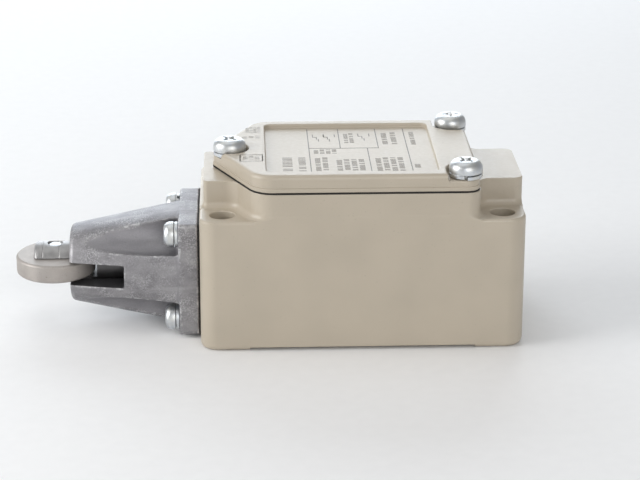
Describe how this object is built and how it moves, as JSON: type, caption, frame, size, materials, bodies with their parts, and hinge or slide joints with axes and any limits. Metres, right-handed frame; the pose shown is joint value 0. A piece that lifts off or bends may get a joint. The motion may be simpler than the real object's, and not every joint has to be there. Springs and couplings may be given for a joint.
{
  "type": "limit switch",
  "caption": "Die-cast limit switch lying on its back, with a spring-returned top roller plunger and a built-in double-break contact block.",
  "frame": {"origin": "on the mounting plane, under the middle of the whole outline (housing, head and roller)", "axes": "+X from the roller towards the conduit entry, +Z from the mounting plane towards the cover, +Y across the housing"},
  "size_m": [0.1084, 0.04, 0.0409],
  "materials": {
    "housing_paint": "satin paint over die-cast alloy",
    "head_casting": "as-cast, tumbled",
    "plunger_steel": "ground",
    "roller_steel": "sintered, satin",
    "zinc_plate": "bright zinc plate",
    "spring_steel": "drawn wire",
    "seal_rubber": "matt",
    "case_resin": "moulded",
    "lid_resin": "moulded",
    "carrier_resin": "moulded",
    "terminal_brass": "bright",
    "contact_alloy": "silver alloy"
  },
  "bodies": {
    "housing": {"carrier_spring": "spring_steel", "case_screw_1": "zinc_plate", "case_screw_2": "zinc_plate", "clamp_plate_1": "zinc_plate", "clamp_plate_2": "zinc_plate", "clamp_plate_3": "zinc_plate", "clamp_plate_4": "zinc_plate", "cover": "housing_paint", "cover_gasket": "seal_rubber", "cover_screw_1": "zinc_plate", "cover_screw_2": "zinc_plate", "cover_screw_3": "zinc_plate", "cover_washer_1": "zinc_plate", "cover_washer_2": "zinc_plate", "cover_washer_3": "zinc_plate", "ground_screw": "zinc_plate", "ground_washer": "zinc_plate", "guide_bush": "terminal_brass", "head_body": "head_casting", "head_gasket": "seal_rubber", "head_screw_1": "zinc_plate", "head_screw_2": "zinc_plate", "head_screw_3": "zinc_plate", "head_screw_4": "zinc_plate", "head_washer_1": "zinc_plate", "head_washer_2": "zinc_plate", "head_washer_3": "zinc_plate", "head_washer_4": "zinc_plate", "housing": "housing_paint", "return_spring": "spring_steel", "stem_seal": "seal_rubber", "switch_case": "case_resin", "switch_lid": "lid_resin", "terminal_1": "terminal_brass", "terminal_2": "terminal_brass", "terminal_3": "terminal_brass", "terminal_4": "terminal_brass", "terminal_screw_1": "zinc_plate", "terminal_screw_2": "zinc_plate", "terminal_screw_3": "zinc_plate", "terminal_screw_4": "zinc_plate"},
    "plunger": {"plunger": "plunger_steel", "roller_pin": "zinc_plate", "overtravel_spring": "spring_steel"},
    "roller": {"roller": "roller_steel"},
    "carrier": {"push_rod": "plunger_steel", "contact_carrier": "carrier_resin", "contact_spring": "spring_steel"},
    "bridge": {"contact_bridge": "contact_alloy"}
  },
  "joints": [
    {"name": "plunger_slide", "type": "slide", "parent": "housing", "child": "plunger", "axis": [1, 0, 0], "range_m": [0, 0.0073], "stiffness_N_per_m": 1500, "springref_m": -0.008, "deforming": ["return_spring", "overtravel_spring"]},
    {"name": "roller_spin", "type": "hinge", "parent": "plunger", "child": "roller", "pos_m": [-0.04575, 0, 0.0132], "axis": [0, 0, 1], "continuous": true},
    {"name": "carrier_slide", "type": "slide", "parent": "housing", "child": "carrier", "axis": [1, 0, 0], "range_m": [0, 0.0023], "deforming": ["carrier_spring"]},
    {"name": "bridge_slide", "type": "slide", "parent": "housing", "child": "bridge", "axis": [1, 0, 0], "range_m": [0, 0.0015], "deforming": ["contact_spring"]}
  ],
  "couplings": [
    {"joint": "carrier_slide", "follows": "plunger_slide", "ratio": 0.3},
    {"joint": "bridge_slide", "follows": "plunger_slide", "ratio": 0.2}
  ]
}
